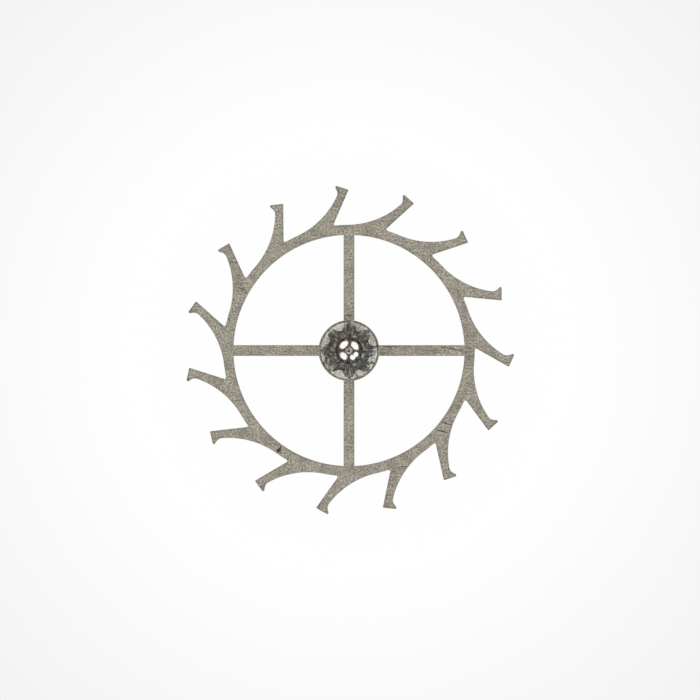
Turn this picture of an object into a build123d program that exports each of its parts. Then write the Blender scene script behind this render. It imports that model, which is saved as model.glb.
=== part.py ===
from build123d import *

import math
import os

# Escape wheel of a gents' lever wristwatch, riveted to its eight-leaf pinion.
# Millimetres. +Z runs along the arbor from the lower pivot to the upper one, and the origin
# is on the axis at the lower pivot's shoulder. +X runs along one arm of the wheel. Seen from
# +Z the club teeth lean clockwise, which is the way the wheel turns.

# Wheel: teeth and rim
tooth_count = 15
tip_diameter = 4.82        # over the letting-off corners, before they are rounded
tooth_depth = 0.586        # from those corners to the gullet floor
rim_width = 0.148          # under the gullets
wheel_thickness = 0.16
first_tip_angle = 23.2     # from an arm to the nearest letting-off corner
impulse_width = 0.224      # from letting-off corner to locking corner
impulse_drop = 0.078       # how much nearer the arbor the locking corner lies
draw_angle = 23.7          # locking flank against the radius
neck_width = 0.12          # tooth at its narrowest, under the spur
spur_edge = 0.086          # rear edge of the spur, down to its round
spur_round = 0.104         # between the spur and the back
heel_round = 0.023         # between the locking flank and the gullet
corner_round = 0.012       # on the locking corner
spur_tip_round = 0.02      # on the letting-off corner
gullet_share = 0.19        # of the tooth pitch, from the foot of the back to the next tooth

# Wheel: arms and hub
arm_count = 4
arm_width = 0.157
hub_land = 0.029           # lapped ring round the sink
sink_clearance = 0.016     # round the leaves
sink_depth = 0.02

# Pinion: leaves
leaf_count = 8
leaf_diameter = 0.794      # over the leaves
pitch_diameter = 0.66
leaf_thickness = 0.14      # on the pitch circle
leaf_root_diameter = 0.48
leaf_tip_round = 0.06
leaf_root_round = 0.028
leaf_length = 0.95
leaf_bevel = 0.02          # turned on the leaves' upper corners
undercut_width = 0.03      # ring turned into the leaves' upper face, round the arbor
undercut_depth = 0.05

# Pinion: seat and rivet
seat_diameter = 0.60       # solid collar that fills the hub's hole
rivet_lip = 0.05           # how far the collar is spread under the wheel
rivet_height = 0.04
rivet_round = 0.025
punch_groove_width = 0.07  # ring that the punch left round the arbor
punch_groove_depth = 0.02

# Pinion: arbor and pivots
shoulder_distance = 2.28   # from the lower pivot's shoulder to the upper one's
wheel_height = 0.55        # the wheel's underside above the lower shoulder
arbor_diameter = 0.32      # where it leaves the leaves and the rivet
arbor_taper = 1.0          # from there towards each pivot, against the axis
shoulder_width = 0.018     # flat ring round each pivot
cone_angle = 20.5          # cones at the arbor's ends, against the axis
pivot_diameter = 0.10
pivot_length = 0.27
pivot_round = 0.03         # burnished edge of the pivot's end

# Levels above the lower shoulder, and radii that follow from the sizes
seat_level = wheel_height + wheel_thickness - sink_depth
leaf_top = seat_level + leaf_length
rivet_level = wheel_height - rivet_height
tip_radius = tip_diameter / 2
root_radius = tip_radius - tooth_depth
sink_radius = leaf_diameter / 2 + sink_clearance
hub_radius = sink_radius + hub_land
seat_radius = seat_diameter / 2
arbor_radius = arbor_diameter / 2

# A cylinder stands on its level or hangs from it
standing = (Align.CENTER, Align.CENTER, Align.MIN)
hanging = (Align.CENTER, Align.CENTER, Align.MAX)


def polar(radius, angle):
    """Point at an angle in degrees round the arbor, or a direction when the radius is 1."""
    return Vector(radius * math.cos(math.radians(angle)), radius * math.sin(math.radians(angle)))


def rolling_centre(corner, along, side, radius, pole, reach, turn):
    """Centre of an arc at a radius to one side of the line from corner, at reach from a pole.

    turn is -1 for the first place met along the line and 1 for the last.
    """
    start = corner + side * radius - pole
    ahead = start.dot(along)
    travel = turn * math.sqrt(ahead * ahead - start.dot(start) + reach * reach) - ahead
    return corner + along * travel + side * radius


def arc_about(centre, start, finish):
    """The shorter arc from start to finish about a centre."""
    radius = (start - centre).length
    middle = ((start - centre) + (finish - centre)).normalized() * radius
    return ThreePointArc(start, centre + middle, finish)


def tooth_edges():
    """One club tooth and the gullet behind it, with its letting-off corner on +X."""
    axis = Vector(0, 0)
    pitch_angle = 360 / tooth_count

    # Impulse face, between the two corners that meet the pallet stones
    locking_radius = tip_radius - impulse_drop
    spread = tip_radius**2 + locking_radius**2 - impulse_width**2
    impulse_angle = math.degrees(math.acos(spread / (2 * tip_radius * locking_radius)))
    letting_off = polar(tip_radius, 0)
    locking = polar(locking_radius, -impulse_angle)

    # The locking flank runs in and back from its corner, and ends in the heel's round
    flank_angle = 180 - impulse_angle - draw_angle
    flank = polar(1, flank_angle)
    gullet_side = polar(1, flank_angle + 90)
    heel_reach = root_radius + heel_round
    heel = rolling_centre(locking, flank, gullet_side, heel_round, axis, heel_reach, -1)
    flank_foot = heel - gullet_side * heel_round
    gullet_end = heel.normalized() * root_radius

    # The round under the spur lies a neck's width behind the flank
    back_side = gullet_side * -1
    neck_offset = neck_width + spur_round
    spur_reach = math.hypot(spur_edge, spur_round)
    waist = rolling_centre(locking, flank, back_side, neck_offset, letting_off, spur_reach, 1)
    towards_tip = letting_off - waist
    tip_angle = math.degrees(math.atan2(towards_tip.Y, towards_tip.X))
    foot_angle = tip_angle - math.degrees(math.atan2(spur_edge, spur_round))
    spur_foot = waist + polar(spur_round, foot_angle)

    # The back is one hollow arc that touches that round and the gullet floor
    foot = polar(1, pitch_angle * (1 - gullet_share))
    gullet_start = foot * root_radius
    fall = gullet_start - waist
    back_radius = (spur_round**2 - fall.dot(fall)) / (2 * (fall.dot(foot) + spur_round))
    back = foot * (root_radius + back_radius)
    back_top = back + (waist - back).normalized() * back_radius

    corner_rounds = (corner_round, spur_tip_round)
    return [
        arc_about(heel, gullet_end, flank_foot),
        *FilletPolyline(flank_foot, locking, letting_off, spur_foot, radius=corner_rounds).edges(),
        arc_about(waist, spur_foot, back_top),
        arc_about(back, back_top, gullet_start),
        arc_about(axis, gullet_start, gullet_end.rotate(Axis.Z, pitch_angle)),
    ]


def wheel_outline():
    """The toothed rim's outline as one face."""
    tooth = tooth_edges()
    edges = []
    for index in range(tooth_count):
        angle = first_tip_angle + index * 360 / tooth_count
        edges += [edge.rotate(Axis.Z, angle) for edge in tooth]
    return Face(Wire(edges))


def wheel_openings():
    """The openings between rim, hub and arms."""
    rim_bore_radius = root_radius - rim_width
    openings = Circle(rim_bore_radius) - Circle(hub_radius)
    for index in range(arm_count):
        arm = Rectangle(rim_bore_radius, arm_width, align=(Align.MIN, Align.CENTER))
        openings -= Rot(0, 0, index * 360 / arm_count) * arm
    return openings


def make_wheel():
    """Rim, teeth, arms and hub, in one piece of sheet steel."""
    wheel = extrude(wheel_outline(), wheel_thickness)
    wheel -= extrude(wheel_openings(), wheel_thickness)
    wheel -= Cylinder(seat_radius, wheel_thickness, align=standing)
    sink = Cylinder(sink_radius, sink_depth, align=hanging)
    wheel -= Pos(0, 0, wheel_thickness) * sink
    return Pos(0, 0, wheel_height) * wheel


def leaf_outline():
    """The pinion's cross-section: radial flanks, round tips and round spaces between."""
    half_leaf = math.degrees(math.asin(leaf_thickness / pitch_diameter))
    pitch_angle = 360 / leaf_count
    outer_radius = leaf_diameter / 2
    inner_radius = leaf_root_diameter / 2
    axis = Vector(0, 0)
    edges = []
    for index in range(leaf_count):
        low = index * pitch_angle - half_leaf
        high = index * pitch_angle + half_leaf
        following = (index + 1) * pitch_angle - half_leaf
        edges.append(Line(polar(inner_radius, low), polar(outer_radius, low)))
        edges.append(arc_about(axis, polar(outer_radius, low), polar(outer_radius, high)))
        edges.append(Line(polar(outer_radius, high), polar(inner_radius, high)))
        edges.append(arc_about(axis, polar(inner_radius, high), polar(inner_radius, following)))
    outline = Face(Wire(edges))
    halfway = (inner_radius + outer_radius) / 2
    tips = [corner for corner in outline.vertices() if Vector(corner).length > halfway]
    outline = fillet(tips, leaf_tip_round)
    roots = [corner for corner in outline.vertices() if Vector(corner).length < halfway]
    return fillet(roots, leaf_root_round)


def arbor_end(free_length):
    """The arbor's profile from its shoulder inwards, as (radius, distance) pairs."""
    shoulder_radius = pivot_diameter / 2 + shoulder_width
    taper = math.tan(math.radians(arbor_taper))
    slope = math.tan(math.radians(cone_angle))
    drop = arbor_radius - free_length * taper - shoulder_radius
    cone_length = drop / (slope - taper)
    return [
        (shoulder_radius, 0),
        (shoulder_radius + cone_length * slope, cone_length),
        (arbor_radius, free_length),
    ]


def make_arbor():
    """Arbor, end cones and pivots, turned as one profile."""
    pivot_radius = pivot_diameter / 2
    upper_end = arbor_end(shoulder_distance - leaf_top)
    half_profile = [
        (0, -pivot_length),
        (pivot_radius, -pivot_length),
        (pivot_radius, 0),
        *arbor_end(rivet_level),
        *[(radius, shoulder_distance - distance) for radius, distance in reversed(upper_end)],
        (pivot_radius, shoulder_distance),
        (pivot_radius, shoulder_distance + pivot_length),
        (0, shoulder_distance + pivot_length),
    ]
    profile = make_face(Polyline(*half_profile, close=True))
    arbor = revolve(Plane.XZ * profile, Axis.Z)
    ends = arbor.edges().filter_by(GeomType.CIRCLE).sort_by(Axis.Z)
    return fillet([ends[0], ends[-1]], pivot_round)


def make_rivet():
    """The seat's lip, spread under the wheel, with the ring that the punch left in it."""
    lip = Cylinder(seat_radius + rivet_lip, rivet_height, align=hanging)
    lip = fillet(lip.edges().sort_by(Axis.Z)[0], rivet_round)
    groove = Cylinder(arbor_radius + punch_groove_width, punch_groove_depth, align=standing)
    lip -= Pos(0, 0, -rivet_height) * groove
    return Pos(0, 0, wheel_height) * lip


def make_pinion():
    """Leaves, seat, rivet, arbor and pivots, cut from one steel rod."""
    leaves = leaf_outline()
    blank = Cylinder(leaf_diameter / 2, leaf_length, align=standing)
    blank = chamfer(blank.edges().sort_by(Axis.Z)[-1], leaf_bevel)
    undercut = Cylinder(arbor_radius + undercut_width, undercut_depth, align=hanging)
    head = extrude(leaves, leaf_length) & blank
    head -= Pos(0, 0, leaf_length) * undercut

    seat = Cylinder(seat_radius, seat_level - wheel_height, align=standing)
    return make_arbor() + Pos(0, 0, seat_level) * head + Pos(0, 0, wheel_height) * seat + make_rivet()


def main():
    os.makedirs("parts", exist_ok=True)
    nodes = {"escape_wheel": make_wheel(), "escape_pinion": make_pinion()}
    for name, solid in nodes.items():
        export_step(solid, os.path.join("parts", name + ".step"))
        print(name, round(solid.volume, 6), "mm3", solid.bounding_box())


main()
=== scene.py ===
import math

import bmesh
import bpy
import numpy as np
from mathutils import Matrix, Vector
from mathutils.geometry import delaunay_2d_cdt


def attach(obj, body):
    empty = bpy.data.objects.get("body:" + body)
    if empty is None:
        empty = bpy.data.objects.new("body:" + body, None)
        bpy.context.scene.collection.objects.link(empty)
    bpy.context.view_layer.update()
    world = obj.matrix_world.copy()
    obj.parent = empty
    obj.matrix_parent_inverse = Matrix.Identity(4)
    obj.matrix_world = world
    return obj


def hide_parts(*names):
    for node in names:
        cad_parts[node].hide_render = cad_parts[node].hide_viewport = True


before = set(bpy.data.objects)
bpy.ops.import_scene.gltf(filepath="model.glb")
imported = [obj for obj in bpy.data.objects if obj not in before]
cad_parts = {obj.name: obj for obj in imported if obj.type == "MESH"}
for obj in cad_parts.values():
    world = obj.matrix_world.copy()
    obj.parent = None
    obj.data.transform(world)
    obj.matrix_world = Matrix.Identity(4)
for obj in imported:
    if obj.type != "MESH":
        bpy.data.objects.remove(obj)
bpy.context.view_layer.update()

# Escape wheel of a gents' lever wristwatch on its eight-leaf pinion, laid out in millimetres
# and turned to metres when each mesh is made. The sizes are those of the CAD source, and the
# small edge breaks are added here.
MM = 0.001
circle_steps = 192         # points on each turned circle
sharp_angle = 14           # degrees between two faces, from which their edge is shaded sharp

# Wheel
tooth_count = 15
tip_radius = 2.41
tooth_depth = 0.586
rim_width = 0.148
wheel_thickness = 0.16
first_tip_angle = 23.2
impulse_width = 0.224
impulse_drop = 0.078
draw_angle = 23.7
neck_width = 0.12
spur_edge = 0.086
spur_round = 0.104
heel_round = 0.023
corner_round = 0.012
spur_tip_round = 0.02
gullet_share = 0.19
arm_count = 4
arm_width = 0.157
hub_radius = 0.442
sink_radius = 0.413
sink_depth = 0.02
seat_radius = 0.30
wheel_edge = 0.006         # edge break left by the lapping
sink_foot = 0.003          # small bevel at the foot of the sink's wall
sink_rings = 14            # rings of faces on the sink's floor, to carry the outline of the painted corner shade

# Pinion
leaf_count = 8
leaf_radius = 0.397
pitch_radius = 0.33
leaf_thickness = 0.14
leaf_root_radius = 0.24
leaf_tip_round = 0.06
leaf_root_round = 0.028
leaf_length = 0.95
leaf_bevel = 0.02
leaf_edge = 0.005          # edge break of the leaves and of the turned rings
undercut_width = 0.03
undercut_depth = 0.05
rivet_lip = 0.05
rivet_height = 0.04
rivet_round = 0.025
punch_groove_width = 0.07
punch_groove_depth = 0.02
shoulder_distance = 2.28
wheel_height = 0.55
arbor_radius = 0.16
arbor_taper = 1.0
shoulder_width = 0.018
shoulder_edge = 0.002      # edge break of the pivots' shoulders
cone_angle = 20.5
pivot_radius = 0.05
pivot_length = 0.27
pivot_round = 0.03

# Levels and radii that follow from the sizes
root_radius = tip_radius - tooth_depth
wheel_top = wheel_height + wheel_thickness
seat_level = wheel_top - sink_depth
leaf_top = seat_level + leaf_length
rivet_level = wheel_height - rivet_height
axis = Vector((0, 0))

# How dark the painted shade makes a flat face along each stretch of its edge, from 0 to 1
painted_edge_shades = {
    "heel": 0.0, "flank": 0.5, "corners": 0.65, "impulse": 0.5, "tip": 0.75, "spur": 0.45,
    "back": 0.1, "gullet": 0.1, "bore": 0.25, "arm": 0.15, "hub": 0.45, "sink": 0.3,
    "leaf": 1.0, "undercut": 0.1,
}

# How that painted dark line fades out inwards, as (depth, share of it left) pairs
wheel_fades = ((0.009, 0.75), (0.02, 0.25), (0.032, 0.0))
leaf_fades = ((0.008, 0.7), (0.018, 0.0))
clear_share = 0.9          # of its depth, by which a point of the fade stays clear of every edge

# Clear metal between two leaves, where the painted shade in the sink's corners leaves off
wedge_point = 0.295        # radius at which it starts
wedge_slope = 168.0        # how its half angle in degrees grows outwards, for each millimetre
wedge_fade = 2.5           # degrees over which the painted shade fades out

# Scratches, nicks and a spot of oil on the wheel's upper face, as (x, y, bearing, length, width)
rim_marks = [
    (1.349, -1.171, -14, 0.23, 0.020),
    (1.414, -1.060, -15, 0.18, 0.018),
    (0.007, 0.504, -9, 0.14, 0.014),
    (1.494, 0.025, -12, 0.47, 0.014),
    (1.740, 0.040, -12, 0.12, 0.014),
    (0.595, 0.060, 0, 0.31, 0.013),
    (-1.544, 0.892, -22, 0.13, 0.018),
    (1.704, -0.021, 20, 0.034, 0.022),
    (-1.672, 0.742, 70, 0.034, 0.022),
    (1.243, 1.361, 75, 0.050, 0.018),
    (1.926, 0.218, 80, 0.040, 0.018),
    (1.450, -1.718, 30, 0.034, 0.022),
    (-1.018, -1.447, 45, 0.095, 0.058),
    (-0.995, -1.405, 75, 0.055, 0.024),
]

# Clean patches on the upper cone, outside which oil and a painted dark reflection of the wheel's arms
# lie, written as the marks are
cone_patches = [
    (0.085, 0.068, -51, 0.160, 0.104),
    (-0.074, 0.084, 41.5, 0.164, 0.104),
    (-0.079, -0.078, -45.5, 0.136, 0.102),
    (0.052, -0.098, 25, 0.082, 0.090),
    (0.101, -0.056, 60, 0.084, 0.084),
]

# Camera, floor and cards
pixel = 0.0145015          # of the photograph, at the wheel's upper face
frame_pixels = 700
arbor_offset = (1.0, 0.53) # pixels that the arbor stands left of and below the middle
lens_distance = 150.0
floor_radius = 60.0
floor_glow = 0.95
lens_radius = 20.0
lens_gap = 5               # from the camera up to the dark end of its lens
lens_glow = 0.24
card_distance = 16.0
card_height = 6.6
card_glow = 0.16
card_spans = ((22, 112), (148, 232), (264, 346))


def polar(radius, angle):
    """Point at an angle in degrees round the arbor, or a direction when the radius is 1."""
    return Vector((radius * math.cos(math.radians(angle)), radius * math.sin(math.radians(angle))))


def turned(point, angle):
    """The point turned round the arbor by an angle in degrees."""
    return Matrix.Rotation(math.radians(angle), 2) @ point


def arc(centre, start, finish, steps):
    """Points on the shorter arc from start to finish about a centre, without the last one."""
    spoke = start - centre
    sweep = spoke.angle_signed(finish - centre)
    turns = [Matrix.Rotation(-sweep * step / steps, 2) for step in range(steps)]
    return [centre + turn @ spoke for turn in turns]


def line(start, finish, steps):
    """Points from start towards finish, without the last one."""
    return [start.lerp(finish, step / steps) for step in range(steps)]


def circle(radius, steps, clockwise=False):
    """Points round the arbor."""
    turn = -360 if clockwise else 360
    return [polar(radius, turn * step / steps) for step in range(steps)]


def rounded(before, corner, after, radius, steps):
    """Points of the small round that joins two straight edges at a corner."""
    inward = (before - corner).normalized()
    outward = (after - corner).normalized()
    half = inward.angle(outward) / 2
    reach = radius / math.tan(half)
    centre = corner + (inward + outward).normalized() * radius / math.sin(half)
    start, finish = corner + inward * reach, corner + outward * reach
    return arc(centre, start, finish, steps) + [finish]


def rolling_centre(corner, along, side, radius, pole, reach, turn):
    """Centre of an arc at a radius to one side of the line from corner, at reach from a pole."""
    start = corner + side * radius - pole
    ahead = start.dot(along)
    travel = turn * math.sqrt(ahead * ahead - start.dot(start) + reach * reach) - ahead
    return corner + along * travel + side * radius


def tooth():
    """One club tooth and the gullet behind it, with its letting-off corner on +X, in stretches
    that each have their own number of steps."""
    pitch_angle = 360 / tooth_count
    locking_radius = tip_radius - impulse_drop
    spread = tip_radius**2 + locking_radius**2 - impulse_width**2
    impulse_angle = math.degrees(math.acos(spread / (2 * tip_radius * locking_radius)))
    letting_off = polar(tip_radius, 0)
    locking = polar(locking_radius, -impulse_angle)

    flank_angle = 180 - impulse_angle - draw_angle
    flank = polar(1, flank_angle)
    gullet_side = polar(1, flank_angle + 90)
    heel_reach = root_radius + heel_round
    heel = rolling_centre(locking, flank, gullet_side, heel_round, axis, heel_reach, -1)
    flank_foot = heel - gullet_side * heel_round
    gullet_end = heel.normalized() * root_radius

    neck_offset = neck_width + spur_round
    spur_reach = math.hypot(spur_edge, spur_round)
    waist = rolling_centre(locking, flank, -gullet_side, neck_offset, letting_off, spur_reach, 1)
    towards_tip = letting_off - waist
    foot_turn = math.atan2(towards_tip.y, towards_tip.x) - math.atan2(spur_edge, spur_round)
    spur_foot = waist + polar(spur_round, math.degrees(foot_turn))

    foot = polar(1, pitch_angle * (1 - gullet_share))
    gullet_start = foot * root_radius
    fall = gullet_start - waist
    back_radius = (spur_round**2 - fall.dot(fall)) / (2 * (fall.dot(foot) + spur_round))
    back = foot * (root_radius + back_radius)
    back_top = back + (waist - back).normalized() * back_radius

    locking_corner = rounded(flank_foot, locking, letting_off, corner_round, 8)
    tip_corner = rounded(locking, letting_off, spur_foot, spur_tip_round, 11)
    next_end = turned(gullet_end, pitch_angle)
    return [
        ("heel", arc(heel, gullet_end, flank_foot, 6)),
        ("flank", line(flank_foot, locking_corner[0], 26)),
        ("corners", locking_corner[:-1]),
        ("impulse", line(locking_corner[-1], tip_corner[0], 10)),
        ("tip", tip_corner[:-1]),
        ("spur", line(tip_corner[-1], spur_foot, 5) + arc(waist, spur_foot, back_top, 12)),
        ("back", arc(back, back_top, gullet_start, 30)),
        ("gullet", arc(axis, gullet_start, next_end, 6)),
    ]


def laid_round(stretches, angles):
    """The stretches turned to each angle, as one loop of points and their edge shades."""
    points, shades = [], []
    for angle in angles:
        for name, stretch in stretches:
            points += [turned(point, angle) for point in stretch]
            shades += [painted_edge_shades[name]] * len(stretch)
    return points, shades


def wheel_rim():
    """The toothed outline, anticlockwise, with its edge shades."""
    angles = [first_tip_angle + index * 360 / tooth_count for index in range(tooth_count)]
    return laid_round(tooth(), angles)


def wheel_openings():
    """The four openings between rim, arms and hub, clockwise, with their edge shades."""
    bore_radius = root_radius - rim_width
    half_arm = arm_width / 2
    rim_angle = math.degrees(math.asin(half_arm / bore_radius))
    hub_angle = math.degrees(math.asin(half_arm / hub_radius))
    quarter = 360 / arm_count
    corners = [
        polar(bore_radius, quarter - rim_angle), polar(bore_radius, rim_angle),
        polar(hub_radius, hub_angle), polar(hub_radius, quarter - hub_angle),
    ]
    stretches = [
        ("bore", arc(axis, corners[0], corners[1], 72)),
        ("arm", line(corners[1], corners[2], 30)),
        ("hub", arc(axis, corners[2], corners[3], 22)),
        ("arm", line(corners[3], corners[0], 30)),
    ]
    return [laid_round(stretches, [index * quarter]) for index in range(arm_count)]


def inset(points, amount):
    """The closed loop moved into the metal on its left by an amount, a sharp corner by twice
    the amount at most."""
    moved = []
    for index, point in enumerate(points):
        before = (point - points[index - 1]).normalized()
        after = (points[(index + 1) % len(points)] - point).normalized()
        normal = (before.orthogonal() + after.orthogonal()).normalized()
        moved.append(point + normal * (amount / max(normal.dot(before.orthogonal()), 0.5)))
    return moved


def inside(points, corners, edges):
    """For each point, whether an odd number of the edges lie above it."""
    start, finish = corners[edges[:, 0]], corners[edges[:, 1]]
    across = (start[:, 0] > points[:, :1]) != (finish[:, 0] > points[:, :1])
    run = np.where(start[:, 0] == finish[:, 0], 1.0, finish[:, 0] - start[:, 0])
    height = start[:, 1] + (points[:, :1] - start[:, 0]) * (finish[:, 1] - start[:, 1]) / run
    return (across & (height > points[:, 1:])).sum(axis=1) % 2 == 1


class Shell:
    """Faces gathered in millimetres, each with its finish, for one mesh. Each point has a painted
    shade: how far painted shade darkens the metal there, along the edges of flat faces and in the
    sink's corners beside the leaves."""

    def __init__(self):
        self.points, self.faces, self.finishes, self.shades = [], [], [], []

    def keep(self, points, level, shades=None):
        """Adds points at a level, and returns their numbers."""
        first = len(self.points)
        self.points += [(point.x, point.y, level) for point in points]
        self.shades += [0.0] * len(points) if shades is None else shades
        return list(range(first, first + len(points)))

    def strip(self, lower, upper, finish):
        """Quads between two loops with as many points, each given as it is kept."""
        low, high = self.keep(*lower), self.keep(*upper)
        for index in range(len(low)):
            after = (index + 1) % len(low)
            self.faces.append((low[index], low[after], high[after], high[index]))
            self.finishes.append(finish)

    def lathe(self, profile):
        """Turned faces from the bottom up through (radius, level, finish) rows. A row's finish is
        that of the face above it."""
        for (radius, level, finish), (next_radius, next_level, _) in zip(profile, profile[1:]):
            lower = circle(radius, circle_steps)
            upper = circle(next_radius, circle_steps)
            self.strip((lower, level), (upper, next_level), finish)

    def cap(self, loops, level, up, finish, loose=(), shades=None):
        """A flat face inside the first loop and outside the others, with loose points in it."""
        flat, edges = [], []
        for loop in loops:
            first, count = len(flat), len(loop)
            flat += loop
            edges += [(first + index, first + (index + 1) % count) for index in range(count)]
        flat += loose
        corners, _, triangles, origins, _, _ = delaunay_2d_cdt(flat, edges, [], 1, 1e-9)
        if shades is not None:
            shades = [shades[origin[0]] for origin in origins]
        kept = self.keep(corners, level, shades)
        places = np.array([corner[:] for corner in corners])
        middles = places[np.array(triangles)].mean(axis=1)
        for triangle, metal in zip(triangles, inside(middles, places, np.array(edges))):
            if metal:
                face = [kept[index] for index in triangle]
                self.faces.append(tuple(face if up else reversed(face)))
                self.finishes.append(finish)

    def made(self, name, finishes):
        """The mesh object, still in millimetres, with its finishes as material slots."""
        mesh = bpy.data.meshes.new(name)
        mesh.from_pydata(self.points, [], self.faces)
        painted_shade = mesh.attributes.new("painted_shade", "FLOAT", "POINT")
        painted_shade.data.foreach_set("value", self.shades)
        for finish in finishes:
            mesh.materials.append(finish)
        slots = [finishes.index(finish) for finish in self.finishes]
        mesh.polygons.foreach_set("material_index", slots)
        piece = bpy.data.objects.new(name, mesh)
        bpy.context.scene.collection.objects.link(piece)
        return piece


def weld(piece):
    """Joins points that lie together, drops faces that this closes and turns the rest outwards."""
    work = bmesh.new()
    work.from_mesh(piece.data)
    bmesh.ops.remove_doubles(work, verts=work.verts, dist=1e-6)
    bmesh.ops.dissolve_degenerate(work, edges=work.edges, dist=1e-7)
    bmesh.ops.recalc_face_normals(work, faces=work.faces)
    work.to_mesh(piece.data)
    work.free()


def finish_mesh(piece):
    """Brings the mesh to metres and shades it smooth up to its corners."""
    piece.data.transform(Matrix.Scale(MM, 4))
    piece.data.shade_smooth()
    piece.data.set_sharp_from_angle(angle=math.radians(sharp_angle))


def linear(code):
    """An sRGB hex colour as linear RGBA."""
    values = [int(code[index:index + 2], 16) / 255 for index in (1, 3, 5)]
    return tuple(v / 12.92 if v <= 0.04045 else ((v + 0.055) / 1.055) ** 2.4 for v in values) + (1.0,)


def node(tree, kind, inputs=None, stops=(), **settings):
    """A node with its settings, its values and links and, on a ramp, its (place, colour) stops."""
    added = tree.nodes.new("ShaderNode" + kind)
    for name, value in settings.items():
        setattr(added, name, value)
    for name, value in (inputs or {}).items():
        if isinstance(value, bpy.types.NodeSocket):
            tree.links.new(value, added.inputs[name])
        else:
            added.inputs[name].default_value = value
    if stops:
        elements = added.color_ramp.elements
        while len(elements) < len(stops):
            elements.new(0.5)
        for element, (place, code) in zip(elements, stops):
            element.position = place
            element.color = linear(code)
    return added


def steel(name, roughness):
    """A new metal with its tree, its shader and its place in millimetres."""
    material = bpy.data.materials.new(name)
    material.use_nodes = True
    tree = material.node_tree
    shader = tree.nodes["Principled BSDF"]
    shader.inputs["Metallic"].default_value = 1.0
    shader.inputs["Roughness"].default_value = roughness
    place = node(tree, "TexCoord").outputs["Object"]
    place = node(tree, "VectorMath", {0: place, "Scale": 1 / MM}, operation="SCALE").outputs["Vector"]
    return material, tree, shader, place


def from_arbor(tree, place):
    """The part of a place that lies square to the arbor, and its distance from the arbor."""
    flat = node(tree, "VectorMath", {0: place, 1: (1, 1, 0)}, operation="MULTIPLY").outputs["Vector"]
    reach = node(tree, "VectorMath", {0: flat}, operation="LENGTH").outputs["Value"]
    return flat, reach


def round_arbor(tree, place, bearing_cells, pitch):
    """Pattern place that follows the lathe: some cells to the radian, and one to each pitch outwards
    or along the arbor."""
    flat, reach = from_arbor(tree, place)
    bearing = node(tree, "VectorMath", {0: flat}, operation="NORMALIZE").outputs["Vector"]
    inputs = {0: bearing, "Scale": bearing_cells}
    cells = node(tree, "VectorMath", inputs, operation="SCALE").outputs["Vector"]
    height = node(tree, "SeparateXYZ", {"Vector": place}).outputs["Z"]
    travel = node(tree, "Math", {0: reach, 1: height}, operation="ADD").outputs["Value"]
    travel = node(tree, "Math", {0: travel, 1: pitch}, operation="DIVIDE").outputs["Value"]
    rise = node(tree, "CombineXYZ", {"Z": travel}).outputs["Vector"]
    return node(tree, "VectorMath", {0: cells, 1: rise}, operation="ADD").outputs["Vector"]


def darkened(tree, tone, pattern, stops):
    """The tone, darkened or tinted along a pattern by the colours at its (place, colour) stops."""
    shade = node(tree, "ValToRGB", {"Fac": pattern}, stops=stops).outputs["Color"]
    inputs = {"Factor": 1.0, "A": tone, "B": shade}
    return node(tree, "Mix", inputs, data_type="RGBA", blend_type="MULTIPLY").outputs["Result"]


def surfaced(tree, shader, tone, relief, depth):
    """Gives the shader its colour, and a relief of a height pattern, as deep as it says in
    millimetres."""
    tree.links.new(tone, shader.inputs["Base Color"])
    bump = node(tree, "Bump", {"Height": relief, "Strength": 1.0, "Distance": depth * MM})
    tree.links.new(bump.outputs["Normal"], shader.inputs["Normal"])


def marks(tree, place, level, spots, depth):
    """How strongly a point lies on one of the spots, each (x, y, bearing, length, width), to a depth
    above and below a level. A spot fades out over its outer three tenths."""
    strongest = None
    for x, y, bearing, length, width in spots:
        inputs = {
            "Vector": place, "Location": (x, y, level),
            "Rotation": (0, 0, math.radians(bearing)), "Scale": (length / 2, width / 2, depth),
        }
        within_spot = node(tree, "Mapping", inputs, vector_type="TEXTURE").outputs["Vector"]
        away = node(tree, "VectorMath", {0: within_spot}, operation="LENGTH").outputs["Value"]
        inputs = {"Value": away, "From Min": 0.7, "From Max": 1.0, "To Min": 1.0, "To Max": 0.0}
        mark = node(tree, "MapRange", inputs).outputs["Result"]
        if strongest:
            mark = node(tree, "Math", {0: strongest, 1: mark}, operation="MAXIMUM").outputs["Value"]
        strongest = mark
    return strongest


def dried_oil(tree, place, blackish, rusty):
    """Old oil in blots, from three colours each: blackish, and rusty towards -X and +Y."""
    blot = 0.035
    cloud = node(tree, "TexNoise", {"Vector": place, "Scale": 1 / blot, "Detail": 1.0}).outputs["Fac"]
    tones = []
    for colours in (blackish, rusty):
        stops = list(zip((0.35, 0.53, 0.7), colours))
        tones.append(node(tree, "ValToRGB", {"Fac": cloud}, stops=stops).outputs["Color"])
    inputs = {0: place, 1: (-0.5, 0.85, 0)}
    towards_rust = node(tree, "VectorMath", inputs, operation="DOT_PRODUCT").outputs["Value"]
    inputs = {"Value": towards_rust, "From Min": -0.06, "From Max": 0.14}
    rust = node(tree, "MapRange", inputs).outputs["Result"]
    inputs = {"Factor": rust, "A": tones[0], "B": tones[1]}
    return node(tree, "Mix", inputs, data_type="RGBA").outputs["Result"]


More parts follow.
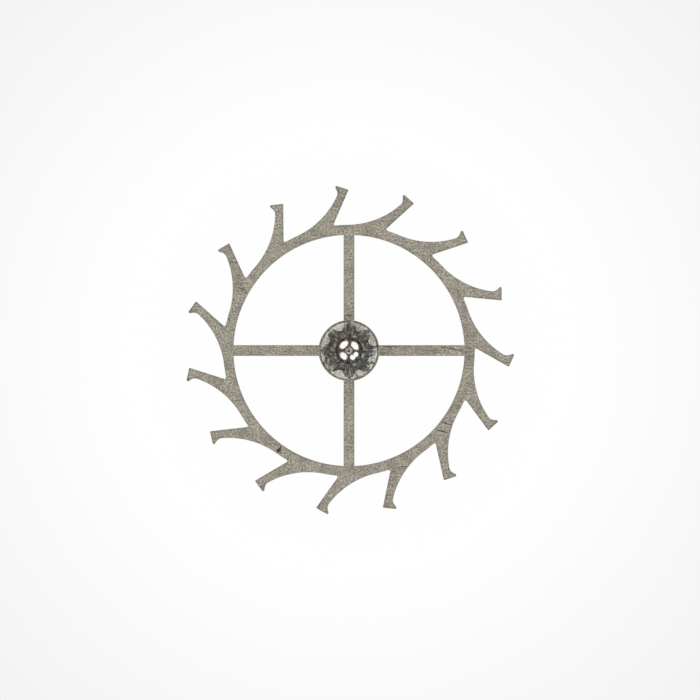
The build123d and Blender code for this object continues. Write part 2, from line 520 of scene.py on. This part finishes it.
def lapped_steel():
    """Tempered steel lapped flat on a fine stone: an even matt grey with a speckle of tiny facets,
    painted shade in a darker line along the polished edges, and a few stray scratches."""
    speckle = 0.023            # coarser than the real grit, so that it shows
    mark_depth = 0.02          # so that the lower face has no marks
    drift_size, tint_size = 0.16, 0.055
    stray_bearing = 13
    stray_cells = (4, 75, 1)   # to the millimetre, along and across a scratch and downwards
    material, tree, shader, place = steel("lapped_steel", 0.42)
    inputs = {"Vector": place, "Scale": 1 / speckle, "Detail": 1.0, "Roughness": 0.6}
    grain = node(tree, "TexNoise", inputs).outputs["Fac"]
    stops = [(0.28, "#7B7972"), (0.42, "#A29E96"), (0.56, "#B9B5AB"), (0.74, "#DFDBD1")]
    tone = node(tree, "ValToRGB", {"Fac": grain}, stops=stops).outputs["Color"]
    drift = node(tree, "TexNoise", {"Vector": place, "Scale": 1 / drift_size, "Detail": 2.0})
    tone = darkened(tree, tone, drift.outputs["Fac"], [(0.3, "#E4E4E4"), (0.6, "#FFFFFF")])
    tint = node(tree, "TexNoise", {"Vector": place, "Scale": 1 / tint_size, "Detail": 1.0})
    stops = [(0.38, "#EEF3E6"), (0.5, "#FDFAF4"), (0.62, "#FCEFEA")]
    tone = darkened(tree, tone, tint.outputs["Fac"], stops)
    # Painted shade: a darker line along the polished edges
    edge = node(tree, "Attribute", attribute_name="painted_shade").outputs["Fac"]
    tone = darkened(tree, tone, edge, [(0.0, "#FFFFFF"), (1.0, "#9C9D98")])
    inputs = {"Vector": place, "Rotation": (0, 0, math.radians(stray_bearing)), "Scale": stray_cells}
    along = node(tree, "Mapping", inputs).outputs["Vector"]
    strays = node(tree, "TexNoise", {"Vector": along, "Scale": 1.0, "Detail": 0.0}).outputs["Fac"]
    tone = darkened(tree, tone, strays, [(0.22, "#C6C4BD"), (0.29, "#FFFFFF")])
    scratched = marks(tree, place, wheel_top, rim_marks, mark_depth)
    inputs = {"Factor": scratched, "A": tone, "B": linear("#4A4A40")}
    tone = node(tree, "Mix", inputs, data_type="RGBA").outputs["Result"]
    surfaced(tree, shader, tone, grain, 0.0004)
    return material


def grained_steel(name, roughness, cells, dark, light):
    """Steel with lines along the arbor, from a number of cells to the millimetre in x, y and z.
    They are coarser than a real polish leaves, so that they show."""
    material, tree, shader, place = steel(name, roughness)
    stretched = node(tree, "VectorMath", {0: place, 1: cells}, operation="MULTIPLY").outputs["Vector"]
    lines = node(tree, "TexNoise", {"Vector": stretched, "Scale": 1.0, "Detail": 2.0}).outputs["Fac"]
    tone = node(tree, "ValToRGB", {"Fac": lines}, stops=[(0.3, dark), (0.7, light)]).outputs["Color"]
    surfaced(tree, shader, tone, lines, 0.0003)
    return material


def sink_steel():
    """The hub's sink, turned in the lathe: pale, with rings left by the tool, a blotchy sheen,
    scratches that run outwards, and painted shade in the corners beside the leaves."""
    blotch_size, patch_size, ring_pitch, spoke_length = 0.075, 0.3, 0.012, 0.12
    material, tree, shader, place = steel("turned_sink_steel", 0.3)
    inputs = {"Vector": place, "Scale": 1 / blotch_size, "Detail": 2.5}
    blotch = node(tree, "TexNoise", inputs).outputs["Fac"]
    stops = [(0.34, "#8A8A80"), (0.43, "#F2F1E8"), (0.5, "#FFFFFA")]
    tone = node(tree, "ValToRGB", {"Fac": blotch}, stops=stops).outputs["Color"]
    patch = node(tree, "TexNoise", {"Vector": place, "Scale": 1 / patch_size, "Detail": 1.0})
    tone = darkened(tree, tone, patch.outputs["Fac"], [(0.4, "#DCD7D3"), (0.5, "#FFFFFF")])
    turning = round_arbor(tree, place, bearing_cells=2.0, pitch=ring_pitch)
    rings = node(tree, "TexNoise", {"Vector": turning, "Scale": 1.0, "Detail": 1.0}).outputs["Fac"]
    tone = darkened(tree, tone, rings, [(0.35, "#DDDDD5"), (0.52, "#FFFFFF")])
    outwards = round_arbor(tree, place, bearing_cells=30.0, pitch=spoke_length)
    spokes = node(tree, "TexNoise", {"Vector": outwards, "Scale": 1.0, "Detail": 1.0}).outputs["Fac"]
    tone = darkened(tree, tone, spokes, [(0.3, "#A6A69C"), (0.42, "#FFFFFF")])
    # Painted shade in the corners beside the leaves
    oil = node(tree, "Attribute", attribute_name="painted_shade").outputs["Fac"]
    inputs = {"Factor": oil, "A": tone, "B": linear("#6E6E68")}
    tone = node(tree, "Mix", inputs, data_type="RGBA").outputs["Result"]
    surfaced(tree, shader, tone, rings, 0.0015)
    return material


def between_leaves(tree, place, reach):
    """How far a place on the upper face belongs to the ring between two leaves' roots, where a
    highlight is painted, from its bearing and its reach."""
    flat = node(tree, "SeparateXYZ", {"Vector": place}).outputs
    bearing = node(tree, "Math", {0: flat["Y"], 1: flat["X"]}, operation="ARCTAN2").outputs["Value"]
    inputs = {0: bearing, 1: float(leaf_count)}
    bearing = node(tree, "Math", inputs, operation="MULTIPLY").outputs["Value"]
    towards_leaf = node(tree, "Math", {0: bearing}, operation="COSINE").outputs["Value"]
    inputs = {"Value": towards_leaf, "From Min": 0.2, "From Max": -0.6}
    sideways = node(tree, "MapRange", inputs).outputs["Result"]
    inputs = {"Value": reach, "From Min": 0.239, "From Max": 0.225}
    inwards = node(tree, "MapRange", inputs).outputs["Result"]
    return node(tree, "Math", {0: sideways, 1: inwards}, operation="MULTIPLY").outputs["Value"]


def leaf_face_steel():
    """The leaves' upper face, faced off and polished: it mirrors what is above it and looks dark, with
    fine light scratches that run outwards, a painted highlight in a paler ring between the leaves'
    roots, painted shade along the leaves' edges, and dried oil creeping out from the undercut."""
    cloud_size, creep_size, scratch_length = 0.05, 0.07, 0.12
    material, tree, shader, place = steel("faced_leaf_steel", 0.16)
    outwards = round_arbor(tree, place, bearing_cells=14.0, pitch=scratch_length)
    streaks = node(tree, "TexNoise", {"Vector": outwards, "Scale": 1.0, "Detail": 2.0}).outputs["Fac"]
    stops = [(0.32, "#9E9F9A"), (0.5, "#C3C2BB"), (0.66, "#F0EFE6")]
    tone = node(tree, "ValToRGB", {"Fac": streaks}, stops=stops).outputs["Color"]
    inputs = {"Vector": place, "Scale": 1 / cloud_size, "Detail": 2.0}
    cloud = node(tree, "TexNoise", inputs).outputs["Fac"]
    tone = darkened(tree, tone, cloud, [(0.35, "#C4C6C4"), (0.6, "#FFFFFF")])

    # Greys from the undercut, 0.2 mm off the axis, to the leaves' tips at 0.4 mm
    _, reach = from_arbor(tree, place)
    inputs = {"Value": reach, "From Min": 0.2, "From Max": 0.4}
    along_leaf = node(tree, "MapRange", inputs).outputs["Result"]
    stops = [(0.1, "#B8B8B6"), (0.3, "#CACAC8"), (0.68, "#D2D2D0"), (0.8, "#FFFFFD")]
    tone = darkened(tree, tone, along_leaf, stops)

    # A painted highlight in a paler ring between the roots, and painted shade along the edge round the
    # leaves
    stops = [(0.42, "#8E8E88"), (0.6, "#E2E2DA")]
    root_highlight = node(tree, "ValToRGB", {"Fac": cloud}, stops=stops).outputs["Color"]
    inputs = {"Factor": between_leaves(tree, place, reach), "A": tone, "B": root_highlight}
    tone = node(tree, "Mix", inputs, data_type="RGBA").outputs["Result"]
    edge = node(tree, "Attribute", attribute_name="painted_shade").outputs["Fac"]
    inputs = {"Factor": edge, "A": tone, "B": linear("#3B3A36")}
    tone = node(tree, "Mix", inputs, data_type="RGBA").outputs["Result"]

    # Dried oil, out to a line that wanders about 0.18 mm off the axis
    inputs = {"Vector": place, "Scale": 1 / creep_size, "Detail": 2.0}
    creep = node(tree, "TexNoise", inputs).outputs["Fac"]
    inputs = {0: creep, 1: 0.2, 2: reach}
    creep = node(tree, "Math", inputs, operation="MULTIPLY_ADD").outputs["Value"]
    inputs = {"Value": creep, "From Min": 0.29, "From Max": 0.275}
    creep = node(tree, "MapRange", inputs).outputs["Result"]
    blackish, rusty = ("#23241F", "#33342D", "#4A4A41"), ("#3A241B", "#6B4536", "#8A6250")
    inputs = {"Factor": creep, "A": tone, "B": dried_oil(tree, place, blackish, rusty)}
    tone = node(tree, "Mix", inputs, data_type="RGBA").outputs["Result"]
    inputs = {"Value": streaks, "From Min": 0.54, "From Max": 0.72, "To Min": 0.16, "To Max": 0.36}
    tree.links.new(node(tree, "MapRange", inputs).outputs["Result"], shader.inputs["Roughness"])
    surfaced(tree, shader, tone, streaks, 0.0003)
    return material


def oil_and_shade_steel(name, blackish, rusty):
    """Steel in the hollows and on small edge breaks, darkened by old oil in blots and by painted shade,
    under a rippled film.
    """
    ripple = 0.045
    material, tree, shader, place = steel(name, 0.4)
    film = node(tree, "TexNoise", {"Vector": place, "Scale": 1 / ripple, "Detail": 2.0}).outputs["Fac"]
    surfaced(tree, shader, dried_oil(tree, place, blackish, rusty), film, 0.0005)
    return material


def burnished_steel(name, bearing_cells, dark, light):
    """Arbor, cones and pivots, hardened and burnished to a mirror, with hairlines round the arbor.
    The fewer cells to the radian, the longer they are."""
    hairline_pitch = 0.009     # coarser than the real one, so that they show
    material, tree, shader, place = steel(name, 0.08)
    turning = round_arbor(tree, place, bearing_cells, hairline_pitch)
    hairlines = node(tree, "TexNoise", {"Vector": turning, "Scale": 1.0, "Detail": 1.0}).outputs["Fac"]
    stops = [(0.3, dark), (0.5, light)]
    tone = node(tree, "ValToRGB", {"Fac": hairlines}, stops=stops).outputs["Color"]
    surfaced(tree, shader, tone, hairlines, 0.00003)
    return material, tree, shader, place, tone


def worn_pivot_steel():
    """The upper pivot: burnished, then worn in its jewel, so that its end is spotted light and dark."""
    spot = 0.03
    burnishing = burnished_steel("worn_pivot_steel", 1.5, "#9A9188", "#D6CDC2")
    material, tree, shader, place, tone = burnishing
    spots = node(tree, "TexNoise", {"Vector": place, "Scale": 1 / spot, "Detail": 1.0}).outputs["Fac"]
    tone = darkened(tree, tone, spots, [(0.4, "#7E756D"), (0.58, "#FFFFFF")])
    tree.links.new(tone, shader.inputs["Base Color"])
    return material


def oil_and_painted_reflection_cone_steel():
    """The upper cone: burnished like the pivots, with dried brown oil and a painted dark reflection of
    the wheel's arms left round five clean patches that have wandering outlines."""
    wander_size, wander_reach = 0.04, 0.035
    cone_level, cone_depth = shoulder_distance - 0.1, 2.0
    burnishing = burnished_steel("oil_and_painted_reflection_cone_steel", 1.5, "#EAE9E6", "#FFFFFD")
    material, tree, shader, place, tone = burnishing
    inputs = {"Vector": place, "Scale": 1 / wander_size, "Detail": 2.0}
    wander = node(tree, "TexNoise", inputs).outputs["Color"]
    inputs = {0: wander, 1: (-0.5, -0.5, -0.5)}
    wander = node(tree, "VectorMath", inputs, operation="ADD").outputs["Vector"]
    inputs = {0: wander, "Scale": wander_reach}
    wander = node(tree, "VectorMath", inputs, operation="SCALE").outputs["Vector"]
    moved = node(tree, "VectorMath", {0: place, 1: wander}, operation="ADD").outputs["Vector"]
    clean = marks(tree, moved, cone_level, cone_patches, cone_depth)
    # Dark brown oil that is also a painted dark reflection of the wheel's arms
    blackish, rusty = ("#141411", "#2A2B25", "#47473E"), ("#1C110C", "#4A2A1F", "#7E4B39")
    inputs = {"Factor": clean, "A": dried_oil(tree, place, blackish, rusty), "B": tone}
    tone = node(tree, "Mix", inputs, data_type="RGBA").outputs["Result"]
    tree.links.new(tone, shader.inputs["Base Color"])
    inputs = {"Value": clean, "From Min": 0.0, "From Max": 1.0, "To Min": 0.35, "To Max": 0.06}
    tree.links.new(node(tree, "MapRange", inputs).outputs["Result"], shader.inputs["Roughness"])
    return material


lapped = lapped_steel()

# Tooth flanks and rim walls, cut and then polished: bright, with faint lines across the sheet
cut = grained_steel("polished_edge_steel", 0.24, (40, 40, 3), "#77736A", "#A9A498")

turned_face = sink_steel()
leaf_face = leaf_face_steel()

# The leaves' flanks, milled and polished along their length: bright, with lines up and down
leaf_flank = grained_steel("milled_leaf_steel", 0.2, (80, 80, 3), "#A9A69E", "#DAD7CE")

# Old oil and painted shade: dark on the leaves' top edges, in the undercut and round the pivot's
# shoulder, grey on the seat deep between the leaves
oil_and_shade_blackish, oil_and_shade_rusty = ("#3B3B35", "#67675F", "#8D8C80"), ("#45352B", "#7A6050", "#A08A78")
oil_and_shade = oil_and_shade_steel("oil_and_shade_darkened_steel", oil_and_shade_blackish, oil_and_shade_rusty)
film_and_shade_blackish, film_and_shade_rusty = ("#585954", "#80817B", "#A9A9A1"), ("#5A5A54", "#83817A", "#AAA8A0")
oil_and_shade_greyed = oil_and_shade_steel("oil_and_shade_greyed_steel", film_and_shade_blackish, film_and_shade_rusty)
burnished = burnished_steel("burnished_pivot_steel", 0.4, "#B0AEA9", "#C9C7C2")[0]
pivot_face = worn_pivot_steel()
oil_and_painted_reflection_cone = oil_and_painted_reflection_cone_steel()


def painted_corner_shade(radius):
    """How far painted shade darkens the sink at each step of a circle: it fills the corners beside the
    leaves, and leaves a wedge of clear metal in each space."""
    clean = wedge_slope * (radius - wedge_point)
    pitch_angle = 360 / leaf_count
    covered = []
    for step in range(circle_steps):
        away = abs(step * 360 / circle_steps % pitch_angle - pitch_angle / 2)
        covered.append(min(1.0, max(0.0, (away - clean) / wedge_fade)))
    return covered


def make_wheel():
    """The wheel, cut from sheet steel, lapped on both faces and sunk round the pinion."""
    shell = Shell()
    outlines = [wheel_rim()] + wheel_openings()

    # Walls, with both edges broken in two steps, as (inwards, upwards) shares of the break
    halfway = 1 - math.sqrt(0.5)
    edge_break = [(1, 0), (halfway, halfway), (0, 1)]
    for points, _ in outlines:
        loops = []
        for inwards, upwards in edge_break:
            loops.append((inset(points, wheel_edge * inwards), wheel_height + wheel_edge * upwards))
        for inwards, upwards in reversed(edge_break):
            loops.append((inset(points, wheel_edge * inwards), wheel_top - wheel_edge * upwards))
        for lower, upper in zip(loops, loops[1:]):
            shell.strip(lower, upper, cut)

    # Both flat faces, with loose points near their edges that let the painted dark line fade out
    boundaries = [inset(points, wheel_edge) for points, _ in outlines]
    shades = [shade for _, outline_shades in outlines for shade in outline_shades]
    edge_points = np.array([point[:] for loop in boundaries for point in loop])
    loose, loose_shades = [], []
    for depth, share in wheel_fades:
        for points, outline_shades in outlines:
            for point, shade in zip(inset(points, wheel_edge + depth), outline_shades):
                gaps = np.hypot(edge_points[:, 0] - point.x, edge_points[:, 1] - point.y)
                if gaps.min() > depth * clear_share:
                    loose.append(point)
                    loose_shades.append(shade * share)
    all_shades = shades + [painted_edge_shades["sink"]] * circle_steps + loose_shades
    for level, up, hole in ((wheel_top, True, sink_radius), (wheel_height, False, seat_radius)):
        ring = circle(hole + wheel_edge, circle_steps, clockwise=True)
        shell.cap(boundaries + [ring], level, up, lapped, loose, all_shades)

    # The hole for the pinion's seat, then the sink's floor and its wall
    shell.lathe([
        (seat_radius + wheel_edge, wheel_height, cut),
        (seat_radius, wheel_height + wheel_edge, cut),
        (seat_radius, seat_level - wheel_edge, cut),
        (seat_radius + wheel_edge, seat_level, cut),
    ])
    floor_start, floor_end = seat_radius + wheel_edge, sink_radius - sink_foot
    floor_width = floor_end - floor_start
    radii = [floor_start + floor_width * index / sink_rings for index in range(sink_rings + 1)]
    rings = [(circle(radius, circle_steps), seat_level, painted_corner_shade(radius)) for radius in radii]
    for inner, outer in zip(rings, rings[1:]):
        shell.strip(inner, outer, turned_face)
    shell.lathe([
        (floor_end, seat_level, turned_face),
        (sink_radius, seat_level + sink_foot, turned_face),
        (sink_radius, wheel_top - wheel_edge, turned_face),
        (sink_radius + wheel_edge, wheel_top, cut),
    ])

    wheel = shell.made("wheel", [lapped, cut, turned_face])
    weld(wheel)
    finish_mesh(wheel)
    return wheel


def leaf_outline():
    """The pinion's cross-section, anticlockwise: radial flanks, round tips and round spaces between."""
    half_leaf = math.degrees(math.asin(leaf_thickness / 2 / pitch_radius))
    pitch_angle = 360 / leaf_count
    tip_reach = leaf_radius - leaf_tip_round
    tip_turn = half_leaf - math.degrees(math.asin(leaf_tip_round / tip_reach))
    tip_foot = math.sqrt(tip_reach**2 - leaf_tip_round**2)
    root_reach = leaf_root_radius + leaf_root_round
    root_turn = half_leaf + math.degrees(math.asin(leaf_root_round / root_reach))
    root_foot = math.sqrt(root_reach**2 - leaf_root_round**2)
    points = []
    for index in range(leaf_count):
        middle = index * pitch_angle
        low, high, next_low = middle - half_leaf, middle + half_leaf, middle + pitch_angle - half_leaf
        tip_start, tip_end = middle - tip_turn, middle + tip_turn
        root_start, root_end = middle + root_turn, middle + pitch_angle - root_turn
        tip_first, tip_last = polar(leaf_radius, tip_start), polar(leaf_radius, tip_end)
        root_first, root_last = polar(leaf_root_radius, root_start), polar(leaf_root_radius, root_end)
        points += line(polar(root_foot, low), polar(tip_foot, low), 6)
        points += arc(polar(tip_reach, tip_start), polar(tip_foot, low), tip_first, 8)
        points += arc(axis, tip_first, tip_last, 4)
        points += arc(polar(tip_reach, tip_end), tip_last, polar(tip_foot, high), 8)
        points += line(polar(tip_foot, high), polar(root_foot, high), 6)
        points += arc(polar(root_reach, root_start), polar(root_foot, high), root_first, 6)
        points += arc(axis, root_first, root_last, 6)
        points += arc(polar(root_reach, root_end), root_last, polar(root_foot, next_low), 6)
    return points


def within(points, radius):
    """The loop with points that reach past a radius drawn in to it."""
    return [point * min(1, radius / point.length) for point in points]


def lower_round(radius, level, size):
    """The round from a turned end at a level to its wall, in steps of 10 degrees, as (radius,
    level) pairs."""
    angles = [math.radians(step * 10) for step in range(10)]
    rounding = [(1 - math.sin(angle), 1 - math.cos(angle)) for angle in angles]
    return [(radius - size * inwards, level + size * upwards) for inwards, upwards in rounding]


def arbor_end(free_length):
    """The arbor's lower end from its pivot's tip inwards, as (radius, distance) pairs that count
    from the pivot's shoulder."""
    shoulder_radius = pivot_radius + shoulder_width
    taper = math.tan(math.radians(arbor_taper))
    slope = math.tan(math.radians(cone_angle))
    cone_length = (arbor_radius - free_length * taper - shoulder_radius) / (slope - taper)
    return [
        (0.0, -pivot_length),
        *lower_round(pivot_radius, -pivot_length, pivot_round),
        (pivot_radius, 0.0),
        (shoulder_radius - shoulder_edge, 0.0),
        (shoulder_radius, shoulder_edge),
        (shoulder_radius + cone_length * slope, cone_length),
        (arbor_radius, free_length),
    ]


def pinion_foot():
    """Lower pivot, arbor, rivet and seat. The seat's top is closed inside the leaves."""
    lip_radius = seat_radius + rivet_lip
    groove_radius = arbor_radius + punch_groove_width
    groove_level = rivet_level + punch_groove_depth
    lip_round = lower_round(lip_radius, rivet_level, rivet_round)
    shell = Shell()
    shell.lathe([
        *[(radius, level, burnished) for radius, level in arbor_end(rivet_level)],
        (arbor_radius, groove_level, cut),
        (groove_radius - leaf_edge, groove_level, cut),
        (groove_radius, groove_level - leaf_edge, cut),
        (groove_radius, rivet_level + leaf_edge, cut),
        (groove_radius + leaf_edge, rivet_level, cut),
        *[(radius, level, cut) for radius, level in lip_round],
        (lip_radius, wheel_height, cut),
        (seat_radius, wheel_height, cut),
        (seat_radius, seat_level - leaf_edge, oil_and_shade),
        # The seat's top, deep between the leaves: grey with oil and painted shade
        (seat_radius - leaf_edge, seat_level, oil_and_shade_greyed),
        (leaf_root_radius / 2, seat_level, oil_and_shade_greyed),
        (leaf_root_radius / 2, seat_level + leaf_bevel, oil_and_shade_greyed),
        (0.0, seat_level + leaf_bevel, oil_and_shade_greyed),
    ])
    return shell


def pinion_head():
    """Leaves, the ring turned into their upper face, and the upper arbor with its pivot."""
    shell = Shell()
    outline = leaf_outline()
    shell.cap([outline], seat_level, False, leaf_face)

    # Flanks, the bevel turned on the leaves' corners, and their broken edge in two steps, dark with oil
    # and painted shade
    face_radius = leaf_radius - leaf_bevel
    first_step = leaf_edge * 0.3
    face = within(inset(outline, leaf_edge), face_radius)
    loops = [
        (outline, seat_level),
        (outline, leaf_top - leaf_bevel),
        (within(outline, face_radius + leaf_edge), leaf_top - leaf_edge),
        (within(inset(outline, first_step), face_radius + first_step), leaf_top - first_step),
        (face, leaf_top),
    ]
    for lower, upper, finish in zip(loops, loops[1:], (leaf_flank, leaf_flank, oil_and_shade, oil_and_shade)):
        shell.strip(lower, upper, finish)

    # The upper face, with loose points near its edges that let the painted dark line fade out
    undercut_radius = arbor_radius + undercut_width
    hollow = circle(undercut_radius + leaf_edge, circle_steps, clockwise=True)
    edges = ((face, painted_edge_shades["leaf"]), (hollow, painted_edge_shades["undercut"]))
    loose, loose_shades = [], []
    for depth, share in leaf_fades:
        for loop, shade in edges:
            loose += inset(loop, depth)
            loose_shades += [shade * share] * len(loop)
    shades = [shade for loop, shade in edges for _ in loop]
    shell.cap([face, hollow], leaf_top, True, leaf_face, loose, shades + loose_shades)

    # From the undercut up: arbor, cone, the shoulder's edge and flat, pivot, and the pivot's end
    end = list(reversed(arbor_end(shoulder_distance - leaf_top)))
    finishes = [burnished, oil_and_painted_reflection_cone, oil_and_shade, oil_and_shade, burnished]
    finishes += [pivot_face] * (len(end) - len(finishes))
    rows = [(radius, shoulder_distance - distance) for radius, distance in end]
    shell.lathe([
        (undercut_radius + leaf_edge, leaf_top, oil_and_shade_greyed),
        (undercut_radius, leaf_top - leaf_edge, oil_and_shade),
        (undercut_radius, leaf_top - undercut_depth, oil_and_shade),
        (arbor_radius, leaf_top - undercut_depth, burnished),
        *[(radius, level, finish) for (radius, level), finish in zip(rows, finishes)],
    ])
    return shell


def make_pinion():
    """Leaves, seat, rivet, arbor and pivots, cut from one rod."""
    finishes = [leaf_face, leaf_flank, burnished, oil_and_painted_reflection_cone, pivot_face, cut, oil_and_shade, oil_and_shade_greyed]
    pinion = pinion_foot().made("pinion", finishes)
    weld(pinion)
    head = pinion_head().made("pinion_head", finishes)
    weld(head)
    union = pinion.modifiers.new("union", "BOOLEAN")
    union.operation = "UNION"
    union.solver = "EXACT"
    union.object = head
    evaluated = pinion.evaluated_get(bpy.context.evaluated_depsgraph_get())
    joined = bpy.data.meshes.new_from_object(evaluated)
    pinion.modifiers.clear()
    pinion.data = joined
    bpy.data.objects.remove(head)
    weld(pinion)
    finish_mesh(pinion)
    return pinion


wheel = make_wheel()
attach(wheel, "root")
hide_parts("escape_wheel")

pinion = make_pinion()
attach(pinion, "root")
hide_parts("escape_pinion")

# The photograph's frame is 10.15 mm wide at the wheel's upper face, seen from straight above
# with a long lens
camera_data = bpy.data.cameras.new("camera")
camera_data.sensor_width = 36.0
camera_data.lens = camera_data.sensor_width * lens_distance / (pixel * frame_pixels)
camera_data.clip_start = 0.01
camera_data.clip_end = 1.0
camera = bpy.data.objects.new("camera", camera_data)
right, up = arbor_offset
camera.location = Vector((pixel * right, pixel * up, wheel_top + lens_distance)) * MM
bpy.context.scene.collection.objects.link(camera)
bpy.context.scene.camera = camera


def staged(shell, name, material):
    """The shell as a stage piece of one material, in metres."""
    piece = shell.made(name, [material])
    piece.data.transform(Matrix.Scale(MM, 4))
    return piece


def disc(name, radius, level, material):
    """A flat round stage piece."""
    shell = Shell()
    shell.faces.append(tuple(shell.keep(circle(radius, 96), level)))
    shell.finishes.append(material)
    return staged(shell, name, material)


def surround(name, material):
    """Cards that stand round the object, with lit gaps between them."""
    steps = 24
    shell = Shell()
    for start, finish in card_spans:
        angles = [start + (finish - start) * step / steps for step in range(steps + 1)]
        span = [polar(card_distance, angle) for angle in angles]
        low, high = shell.keep(span, -pivot_length), shell.keep(span, card_height)
        for index in range(steps):
            shell.faces.append((low[index], low[index + 1], high[index + 1], high[index]))
            shell.finishes.append(material)
    return staged(shell, name, material)


def floor_material():
    """White card with painted shade towards the frame's corners. It shows its own colour to the camera
    and to the metal, and takes a faint shadow."""
    material = bpy.data.materials.new("white_card")
    material.use_nodes = True
    tree = material.node_tree
    tree.nodes.clear()
    path = node(tree, "LightPath").outputs
    inputs = {0: path["Is Camera Ray"], 1: path["Is Glossy Ray"]}
    seen = node(tree, "Math", inputs, operation="MAXIMUM").outputs["Value"]
    inputs = {0: seen, 1: path["Is Transmission Ray"]}
    seen = node(tree, "Math", inputs, operation="MAXIMUM").outputs["Value"]
    strength = node(tree, "Math", {0: seen, 1: floor_glow}, operation="MULTIPLY").outputs["Value"]
    place = node(tree, "TexCoord").outputs["Object"]
    away = node(tree, "VectorMath", {0: place}, operation="LENGTH").outputs["Value"]
    inputs = {"Value": away, "From Min": 0.0, "From Max": floor_radius * MM}
    away = node(tree, "MapRange", inputs).outputs["Result"]

    # Painted shade: the card is a little darker towards the frame's corners, and white again further
    # out
    stops = [(0.055, "#FFFFFF"), (0.12, "#F2F2F2"), (0.2, "#F2F2F2"), (0.6, "#FFFFFF")]
    colour = node(tree, "ValToRGB", {"Fac": away}, stops=stops).outputs["Color"]
    glow = node(tree, "Emission", {"Color": colour, "Strength": strength}).outputs["Emission"]
    matt = node(tree, "BsdfDiffuse", {"Color": (0.05, 0.05, 0.05, 1)}).outputs["BSDF"]
    both = node(tree, "AddShader", {0: glow, 1: matt}).outputs["Shader"]
    node(tree, "OutputMaterial", {"Surface": both})
    return material


def card_material(name, strength):
    """A grey that shows only where the metal mirrors it."""
    material = bpy.data.materials.new(name)
    material.use_nodes = True
    tree = material.node_tree
    tree.nodes.clear()
    glow = node(tree, "Emission", {"Color": linear("#FFFFFF"), "Strength": strength})
    node(tree, "OutputMaterial", {"Surface": glow.outputs["Emission"]})
    return material


disc("floor", floor_radius, -pivot_length, floor_material())

# What polished faces mirror: the dark end of the lens above, and dark cards round the bench
lens_level = wheel_top + lens_distance + lens_gap
lens_end = disc("lens_end", lens_radius, lens_level, card_material("dark_lens", lens_glow))
cards = surround("dark_surround", card_material("dark_card", card_glow))
for mirrored in (lens_end, cards):
    for ray in ("camera", "diffuse", "transmission", "volume_scatter"):
        setattr(mirrored, "visible_" + ray, False)

world = bpy.data.worlds.new("studio")
bpy.context.scene.world = world
world.use_nodes = True
world.node_tree.nodes["Background"].inputs["Color"].default_value = (1, 1, 1, 1)
world.node_tree.nodes["Background"].inputs["Strength"].default_value = 1.0

bpy.context.scene.view_settings.view_transform = "Standard"
